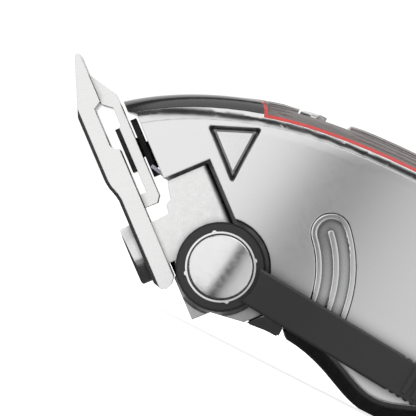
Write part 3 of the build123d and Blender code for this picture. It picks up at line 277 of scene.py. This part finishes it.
def screw_finish():
    f = Finish("screw_steel", (0.80, 0.80, 0.805), 1.0, 0.22)
    # Lighter edges: part wear, part painted edge highlight.
    f.eased(0.10, (0.85, 0.85, 0.85), 0.5)
    f.uneven(f.noise(0.5), 0.05)
    f.mottled(f.noise(1.5), (0.84, 0.84, 0.84), 0.7)
    f.bump(f.noise(0.15, detail=2.0), 0.001, 0.2)
    # Painted shade in the cross recess and under the head.
    f.painted_recess_shade(0.9, 0.04, 1.2)
    return f.mat


# Painted shade: black standing for the dark gap under the screw head.
WASHER_GAP_SHADE = (0.012, 0.012, 0.012)
RIM_START = 4.44 * MM
RIM_FULL = 4.50 * MM


def washer_rim_and_shade_finish():
    """Bright metal rim about a face painted black as the shade in the gap under the screw head: the
    radius is measured from the washer's own middle.
    """
    f = Finish("star_washer", WASHER_GAP_SHADE, 0.0, 0.35)
    low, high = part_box("star_washer")
    centre = (Vector(low) + Vector(high)) / 2
    place = f.add("ShaderNodeVectorMath", operation="SUBTRACT")
    place.inputs[1].default_value = centre
    f.link(f.coords, place.inputs[0])
    flat = f.add("ShaderNodeVectorMath", operation="MULTIPLY")
    flat.inputs[1].default_value = (1, 0, 1)
    f.link(place.outputs[0], flat.inputs[0])
    radius = f.add("ShaderNodeVectorMath", operation="LENGTH")
    f.link(flat.outputs[0], radius.inputs[0])
    rim = f.ranged(radius.outputs["Value"], 0.0, 1.0, RIM_START, RIM_FULL)
    mix = f.recoloured()
    mix.inputs[7].default_value = (0.95, 0.95, 0.95, 1)
    f.link(rim, mix.inputs[0])
    f.link(rim, f.shader.inputs["Metallic"])
    f.uneven(f.noise(0.5), 0.05)
    f.bump(f.noise(0.2), 0.001, 0.2)
    return f.mat


def shaft_finish():
    f = Finish("shaft_steel", (0.52, 0.52, 0.53), 1.0, 0.28)
    # Lighter edges: part wear, part painted edge highlight.
    f.eased(0.10, (0.7, 0.7, 0.7), 0.5)
    turned = f.noise(0.2, stretch=(1, 0.1, 1))
    f.mottled(turned, (0.60, 0.60, 0.60), 0.7)
    f.uneven(f.noise(0.7), 0.06)
    f.bump(turned, 0.004, 0.3)
    return f.mat


def spring_finish():
    f = Finish("spring_steel", (0.40, 0.42, 0.46), 1.0, 0.26)
    # Lighter edges: part wear, part painted edge highlight.
    f.eased(0.05, (0.6, 0.6, 0.62), 0.5)
    f.mottled(f.noise(1.2), (0.34, 0.33, 0.40), 0.7)
    f.uneven(f.noise(0.4), 0.06)
    f.bump(f.noise(0.2, stretch=(0.1, 1, 1)), 0.003, 0.3)
    return f.mat


def cast_finish():
    f = Finish("die_cast", (0.62, 0.62, 0.625), 1.0, 0.40)
    # Lighter edges: part wear, part painted edge highlight.
    f.eased(0.20, (0.75, 0.75, 0.75), 0.4)
    grain = f.noise(0.35, detail=4.0)
    f.mottled(grain, (0.70, 0.70, 0.70), 0.7)
    f.uneven(f.noise(1.1), 0.08)
    f.bump(grain, 0.005, 0.3)
    # Painted shade in gaps and recesses.
    f.painted_recess_shade(2.0, 0.03)
    return f.mat


def track_finish():
    f = Finish("track_satin", (0.80, 0.80, 0.805), 1.0, 0.22)
    f.eased(0.12)
    f.mottled(f.noise(0.3), (0.85, 0.85, 0.855), 0.7)
    f.uneven(f.noise(0.8), 0.03)
    f.bump(f.noise(0.2), 0.002, 0.2)
    # Painted shade in gaps and beside the lever.
    f.painted_recess_shade(2.0, 0.05, 1.3)
    return f.mat


def insert_finish():
    f = Finish("insert_grey", (0.80, 0.80, 0.805), 1.0, 0.36)
    f.mottled(f.noise(0.3), (0.86, 0.86, 0.86), 0.8)
    f.uneven(f.noise(0.8), 0.04)
    f.bump(f.noise(0.2), 0.003, 0.3)
    # Painted shade in gaps and recesses.
    f.painted_recess_shade(0.7, 0.1)
    return f.mat


def switch_finish():
    f = Finish("switch_silver", (0.74, 0.74, 0.75), 1.0, 0.18)
    f.eased(0.3)
    f.mottled(f.noise(2.0), (0.68, 0.68, 0.69), 0.6)
    f.uneven(f.noise(0.6), 0.05)
    f.bump(f.noise(0.3), 0.004, 0.2)
    return f.mat


def lever_finish():
    f = Finish("lever_black", (0.016, 0.0155, 0.016), 0.0, 0.42)
    # Lighter edges: part wear, part painted edge highlight.
    f.eased(0.22, (0.05, 0.05, 0.052), 0.5)
    grain = f.noise(0.25, detail=3.0)
    f.mottled(grain, (0.020, 0.0195, 0.020), 0.8)
    f.uneven(f.noise(0.9), 0.05)
    f.bump(grain, 0.004, 0.3)
    return f.mat


def black_finish():
    f = Finish("black_plastic", (0.010, 0.010, 0.011), 0.0, 0.38)
    # Lighter edges: part wear, part painted edge highlight.
    f.eased(0.2, (0.03, 0.03, 0.03), 0.5)
    f.mottled(f.noise(0.5), (0.018, 0.018, 0.019), 0.8)
    f.uneven(f.noise(1.0), 0.08)
    f.bump(f.noise(0.3), 0.01, 0.4)
    return f.mat


def rubber_finish():
    f = Finish("belly_rubber", (0.004, 0.004, 0.0045), 0.0, 0.30)
    f.eased(0.3)
    pores = f.add("ShaderNodeTexVoronoi")
    pores.inputs["Scale"].default_value = 1000.0 / 0.45
    f.link(f.coords, pores.inputs["Vector"])
    f.mottled(f.noise(1.2), (0.008, 0.008, 0.0085), 0.9)
    f.uneven(f.noise(0.7), 0.05)
    f.bump(pores.outputs["Distance"], 0.008, 0.25)
    return f.mat


def bush_finish():
    f = Finish("bush_rubber", (0.012, 0.012, 0.012), 0.0, 0.6)
    f.mottled(f.noise(0.8), (0.02, 0.02, 0.02), 0.8)
    f.uneven(f.noise(0.8), 0.08)
    f.bump(f.noise(0.3), 0.02, 0.4)
    return f.mat


def spine_finish():
    f = Finish("spine_gloss", (0.022, 0.021, 0.022), 0.0, 0.16,
               Coat_Weight=0.6, Coat_Roughness=0.05)
    f.eased(0.3)
    f.mottled(f.noise(4.0), (0.032, 0.031, 0.032), 0.7)
    f.uneven(f.noise(1.4), 0.05)
    f.bump(f.noise(0.6), 0.003, 0.2)
    return f.mat


def smoky_finish():
    f = Finish("smoky_cover", (0.085, 0.072, 0.070), 0.0, 0.20,
               Coat_Weight=0.5, Coat_Roughness=0.08)
    streak = f.noise(0.5, stretch=(0.03, 1, 1), detail=4.0, rough=0.7)
    f.mottled(streak, (0.26, 0.225, 0.215), 0.9)
    f.mottled(f.noise(3.0, stretch=(0.15, 1, 1)), (0.05, 0.035, 0.034), 0.6)
    f.uneven(f.noise(0.8, stretch=(0.2, 1, 1)), 0.07)
    f.bump(streak, 0.02, 0.3)
    return f.mat


LIP_DARK = 1.6 * MM
LIP_END = 2.2 * MM


def red_finish():
    """Red film with a darkened front lip."""
    f = Finish("red_film", (0.62, 0.035, 0.030), 0.0, 0.28, Coat_Weight=0.4, Coat_Roughness=0.1)
    f.mottled(f.noise(3.0, stretch=(0.2, 1, 1)), (0.50, 0.022, 0.020), 0.8)
    low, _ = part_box("red_liner")
    split = f.add("ShaderNodeSeparateXYZ")
    f.link(f.coords, split.inputs[0])
    lip = f.recoloured()
    lip.inputs[7].default_value = (0.05, 0.004, 0.004, 1)
    front = f.ranged(split.outputs["X"], 1.0, 0.0, low[0] + LIP_DARK, low[0] + LIP_END)
    f.link(front, lip.inputs[0])
    f.uneven(f.noise(1.0), 0.06)
    f.bump(f.noise(0.4), 0.004, 0.2)
    return f.mat


def bulkhead_finish():
    f = Finish("bulkhead_plastic", (0.10, 0.10, 0.105), 0.0, 0.45)
    f.eased(0.2)
    f.mottled(f.noise(0.8), (0.13, 0.13, 0.135), 0.8)
    f.uneven(f.noise(1.0), 0.08)
    f.bump(f.noise(0.3), 0.01, 0.4)
    return f.mat


def copper_finish():
    f = Finish("copper_winding", (0.62, 0.24, 0.10), 1.0, 0.28)
    turns = f.layers(0.35)
    f.mottled(turns, (0.30, 0.09, 0.04), 0.8)
    f.uneven(f.noise(0.8), 0.06)
    f.bump(turns, 0.12, 0.7)
    return f.mat


def stack_finish():
    f = Finish("laminations", (0.30, 0.30, 0.31), 1.0, 0.42)
    sheets = f.layers(0.5)
    f.mottled(sheets, (0.16, 0.15, 0.15), 0.8)
    f.mottled(f.noise(2.0), (0.30, 0.24, 0.20), 0.3)
    f.uneven(f.noise(0.8), 0.08)
    f.bump(sheets, 0.06, 0.6)
    return f.mat


FINISHES = {
    "satin_metal_shell": shell_finish(),
    "blade_steel": blade_finish(),
    "bracket_steel": bracket_finish(),
    "polished_trim": polished_finish(),
    "screw_steel": screw_finish(),
    "shaft_steel": shaft_finish(),
    "spring_steel": spring_finish(),
    "die_cast": cast_finish(),
    "track_satin": track_finish(),
    "insert_grey": insert_finish(),
    "switch_silver": switch_finish(),
    "lever_black": lever_finish(),
    "black_plastic": black_finish(),
    "belly_rubber": rubber_finish(),
    "bush_rubber": bush_finish(),
    "spine_gloss": spine_finish(),
    "smoky_cover": smoky_finish(),
    "red_film": red_finish(),
    "bulkhead_plastic": bulkhead_finish(),
    "copper_winding": copper_finish(),
    "laminations": stack_finish(),
}

for node in frame["nodes"].values():
    for slot in node.material_slots:
        key = slot.material.name.split(".")[0]
        slot.material = FINISHES[key]
# The star washer's face inside its rim is painted black as the shade under the screw head.
for slot in frame["nodes"]["star_washer"].material_slots:
    slot.material = washer_rim_and_shade_finish()     # a finish of its own, in place of its slot's


# ---------------------------------------------------------------- moulded ribs

RIB_HALF = 0.20 * MM
RIB_PROUD = 0.10 * MM
RIB_SUNK = 0.08 * MM
STEP_MM = 0.8                  # between two points of a rib
FIRST_MM = 0.4                 # first point, from the front of the grip
JUMP = 0.9 * MM                # a greater change of depth than this ends a rib
TOP_LINES = 31                 # ribs each side of the middle one
TOP_MARGIN = 4.4 * MM          # flank left to the tilted rays
SIDE_LINES = 5
SIDE_FIRST_DEG = 20
SIDE_PITCH_DEG = 9
ABOVE = 0.01                   # height from which the vertical rays start
DOWN_REACH = 0.03
FLANK_DROP = 1.2 * MM          # below the crown, where the flank is felt for
FLANK_START = 0.05
ARC_IN = 3.3 * MM              # middle of the shoulder's arc, in from the flank and below the crown
ARC_DOWN = 4.5 * MM
TILTED_START = 0.012
TILTED_REACH = 0.011
OUT_OF_REACH = 0.2             # a start so far off that its ray misses, which ends the rib


def rib_runs(tree, starts, direction, reach):
    """Points and normals where the rays land, split where they miss or fall into a gap."""
    runs, run = [], []
    for start in starts:
        spot, normal, _, gone = tree.ray_cast(start, direction, reach)
        held = spot is not None and (not run or abs(gone - run[-1][2]) < JUMP)
        if not held and run:
            runs.append(run)
            run = []
        if spot is not None:
            run.append((spot, normal, gone))
    runs.append(run)
    return [r for r in runs if len(r) > 4]


def sweep_rib(b, run):
    """One closed rounded rib along a run, its foot sunk in the surface that carries it."""
    profile = [(-RIB_HALF, -RIB_SUNK), (-RIB_HALF, 0.15 * RIB_PROUD),
               (-0.55 * RIB_HALF, 0.8 * RIB_PROUD), (0, RIB_PROUD),
               (0.55 * RIB_HALF, 0.8 * RIB_PROUD), (RIB_HALF, 0.15 * RIB_PROUD),
               (RIB_HALF, -RIB_SUNK)]
    rings = []
    last = len(run) - 1
    for i, (spot, normal, _) in enumerate(run):
        along = (run[min(i + 1, last)][0] - run[max(i - 1, 0)][0]).normalized()
        across = along.cross(normal).normalized()
        ease = min(1.0, (min(i, last - i) + 0.35) / 2.0)
        ring = [b.verts.new(spot + across * u * ease + normal * (v * ease if v > 0 else v))
                for u, v in profile]
        rings.append(ring)
    count = len(profile)
    for one, other in zip(rings, rings[1:]):
        for k in range(count):
            b.faces.new((one[k], one[(k + 1) % count], other[(k + 1) % count], other[k]))
    b.faces.new(list(reversed(rings[0])))
    b.faces.new(rings[-1])


def tilted_starts(tree, stations, side, aim, top):
    """Starts of rays aimed at the middle of the rounded shoulder on one side."""
    starts = []
    for x in stations:
        spot, _, _, _ = tree.ray_cast((x, 0, top + ABOVE), (0, 0, -1), DOWN_REACH)
        level = (spot.z if spot else top) - FLANK_DROP
        edge, _, _, _ = tree.ray_cast((x, side * FLANK_START, level), (0, -side, 0), FLANK_START)
        if spot is None or edge is None:
            starts.append(Vector((x, side * OUT_OF_REACH, 0)))
            continue
        centre = Vector((x, edge.y - side * ARC_IN, spot.z - ARC_DOWN))
        starts.append(centre - aim * TILTED_START)
    return starts


def cover_ribs():
    """Fine lengthwise ribs over the top grip."""
    tree = BVHTree.FromObject(frame["nodes"]["top_grip"], bpy.context.evaluated_depsgraph_get())
    low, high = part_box("top_grip")
    top = high[2]
    count = int((high[0] - low[0]) / (STEP_MM * MM))
    stations = [low[0] + FIRST_MM * MM + i * STEP_MM * MM for i in range(count)]
    half_y = (high[1] - low[1]) / 2
    runs = []
    for k in range(-TOP_LINES, TOP_LINES + 1):
        y = k / TOP_LINES * (half_y - TOP_MARGIN)
        runs += rib_runs(tree, [(x, y, top + ABOVE) for x in stations], (0, 0, -1), DOWN_REACH)
    for side in (-1, 1):
        for k in range(SIDE_LINES):
            tilt = math.radians(SIDE_FIRST_DEG + SIDE_PITCH_DEG * k)
            aim = Vector((0, -side * math.sin(tilt), -math.cos(tilt)))
            starts = tilted_starts(tree, stations, side, aim, top)
            runs += rib_runs(tree, starts, aim, TILTED_REACH)
    b = bmesh.new()
    for run in runs:
        sweep_rib(b, run)
    bmesh.ops.recalc_face_normals(b, faces=b.faces)
    for face in b.faces:
        face.smooth = True
    mesh = bpy.data.meshes.new("cover_ribs")
    b.to_mesh(mesh)
    b.free()
    piece = in_scene("cover_ribs", mesh)
    mesh.materials.append(FINISHES["smoky_cover"])
    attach(piece, "housing")


cover_ribs()


# ---------------------------------------------------------------- studio

# Grey by direction: 0 is straight down, 0.5 the horizon and 1 straight up.
WORLD_STOPS = [(0.0, 0.04), (0.36, 0.05), (0.44, 0.75), (0.76, 0.95), (0.82, 0.90),
               (0.845, 0.04), (0.885, 0.04), (0.91, 1.1), (1.0, 0.85)]
BACKDROP = 1.05                # what the camera itself sees behind the part
FLOOR_RADIUS = 6.0
FLOOR_Z = -0.4 * MM
FLOOR_GLOW = 0.84
CARD_X = (-0.140, 0.240)
CARD_Y = 0.056
CARD_Z = (-0.016, 0.050)
CARD_LEAN = math.radians(-7)   # the bands on the card lean as they do on the shell
CARD_START = -0.060
CARD_END = 0.040
# Grey of the card against x in millimetres.
SIDE_STOPS = [(-60, 1.0), (-27.5, 1.0), (-25.2, 0.80), (-22.6, 0.05), (-18.6, 0.08),
              (-15.0, 0.46), (-10.0, 0.64), (-2.0, 0.72), (40, 0.76)]


def ramp_world():
    """White to the camera; to everything else a sky graded by height, with one dark band."""
    world = bpy.data.worlds.new("studio")
    bpy.context.scene.world = world
    world.use_nodes = True
    nodes, links = world.node_tree.nodes, world.node_tree.links
    nodes.clear()
    out = nodes.new("ShaderNodeOutputWorld")
    coords = nodes.new("ShaderNodeTexCoord")
    split = nodes.new("ShaderNodeSeparateXYZ")
    links.new(coords.outputs["Generated"], split.inputs[0])
    height = nodes.new("ShaderNodeMapRange")
    height.inputs["From Min"].default_value = -1.0
    height.inputs["From Max"].default_value = 1.0
    links.new(split.outputs["Z"], height.inputs["Value"])
    ramp = nodes.new("ShaderNodeValToRGB")
    fill_ramp(ramp, WORLD_STOPS)
    links.new(height.outputs["Result"], ramp.inputs["Fac"])
    lit = nodes.new("ShaderNodeBackground")
    lit.inputs["Strength"].default_value = 1.0
    links.new(ramp.outputs["Color"], lit.inputs["Color"])
    plain = nodes.new("ShaderNodeBackground")
    plain.inputs["Color"].default_value = WHITE
    plain.inputs["Strength"].default_value = BACKDROP
    path = nodes.new("ShaderNodeLightPath")
    mix = nodes.new("ShaderNodeMixShader")
    links.new(path.outputs["Is Camera Ray"], mix.inputs["Fac"])
    links.new(lit.outputs[0], mix.inputs[1])
    links.new(plain.outputs[0], mix.inputs[2])
    links.new(mix.outputs[0], out.inputs["Surface"])


def floor():
    """Pale ground that lights the underside but stays out of the metal's reflections."""
    mesh = bpy.data.meshes.new("floor")
    b = bmesh.new()
    bmesh.ops.create_circle(b, cap_ends=True, radius=FLOOR_RADIUS, segments=64)
    b.to_mesh(mesh)
    b.free()
    plane = in_scene("floor", mesh)
    plane.location.z = FLOOR_Z
    f = Finish("pale_floor", (0.9, 0.9, 0.9), 0.0, 0.9)
    f.shader.inputs["Emission Color"].default_value = WHITE
    f.shader.inputs["Emission Strength"].default_value = FLOOR_GLOW
    plane.data.materials.append(f.mat)
    plane.visible_glossy = False


def softbox(name, at, aim, size, watts):
    data = bpy.data.lights.new(name, "AREA")
    data.shape = "RECTANGLE"
    data.size, data.size_y = size
    data.energy = watts
    lamp = in_scene(name, data)
    lamp.location = at
    lamp.rotation_euler = (Vector(aim) - Vector(at)).to_track_quat("-Z", "Y").to_euler()
    lamp.visible_camera = False


def graded_card(name, side):
    """A reflector beside the object, graded along its length, that only shows in reflections."""
    (x0, x1), (z0, z1) = CARD_X, CARD_Z
    y = side * CARD_Y
    mesh = bpy.data.meshes.new(name)
    mesh.from_pydata([(x0, y, z0), (x1, y, z0), (x1, y, z1), (x0, y, z1)], [], [(0, 1, 2, 3)])
    card = in_scene(name, mesh)
    mat = bpy.data.materials.new(name)
    mat.use_nodes = True
    nodes, links = mat.node_tree.nodes, mat.node_tree.links
    nodes.clear()
    coords = nodes.new("ShaderNodeTexCoord")
    turn = nodes.new("ShaderNodeMapping")
    turn.inputs["Rotation"].default_value = (0, CARD_LEAN, 0)
    links.new(coords.outputs["Object"], turn.inputs["Vector"])
    split = nodes.new("ShaderNodeSeparateXYZ")
    links.new(turn.outputs["Vector"], split.inputs[0])
    place = nodes.new("ShaderNodeMapRange")
    place.inputs["From Min"].default_value = CARD_START
    place.inputs["From Max"].default_value = CARD_END
    links.new(split.outputs["X"], place.inputs["Value"])
    ramp = nodes.new("ShaderNodeValToRGB")
    fill_ramp(ramp, [((x * MM - CARD_START) / (CARD_END - CARD_START), grey)
                     for x, grey in SIDE_STOPS])
    links.new(place.outputs["Result"], ramp.inputs["Fac"])
    glow = nodes.new("ShaderNodeEmission")
    glow.inputs["Strength"].default_value = 1.0
    links.new(ramp.outputs["Color"], glow.inputs["Color"])
    out = nodes.new("ShaderNodeOutputMaterial")
    links.new(glow.outputs[0], out.inputs["Surface"])
    mesh.materials.append(mat)
    card.visible_camera = False
    card.visible_diffuse = False
    card.visible_shadow = False
    card.visible_transmission = False


ramp_world()
floor()
graded_card("lever_side_card", -1)
graded_card("far_side_card", 1)
softbox("top_box", (0.05, 0.0, 0.70), (0.02, 0, 0), (0.7, 0.5), 0.8)


# ---------------------------------------------------------------- camera

AIM = Vector((-0.03126, 0.0, 0.01475))
RIGHT = Vector((0.891, 0.0, 0.454)).normalized()
BACK = Vector((0.0, -1.0, 0.0))
UP = BACK.cross(RIGHT)
VIEW_WIDTH = 0.05547           # width that fills the picture, in the plane of the lever side
LEVER_SIDE = 0.0235            # half the width of the housing
camera = in_scene("camera", bpy.data.cameras.new("camera"))
camera.data.lens = 1000.0
camera.data.sensor_width = 36.0
reach = VIEW_WIDTH * camera.data.lens / camera.data.sensor_width
turn = Matrix((RIGHT, UP, BACK)).transposed()
camera.matrix_world = Matrix.Translation(AIM + BACK * (reach + LEVER_SIDE)) @ turn.to_4x4()
camera.data.clip_start = 0.1
camera.data.clip_end = 20.0
bpy.context.scene.camera = camera
bpy.context.scene.view_settings.view_transform = "Standard"
bpy.context.scene.view_settings.look = "None"
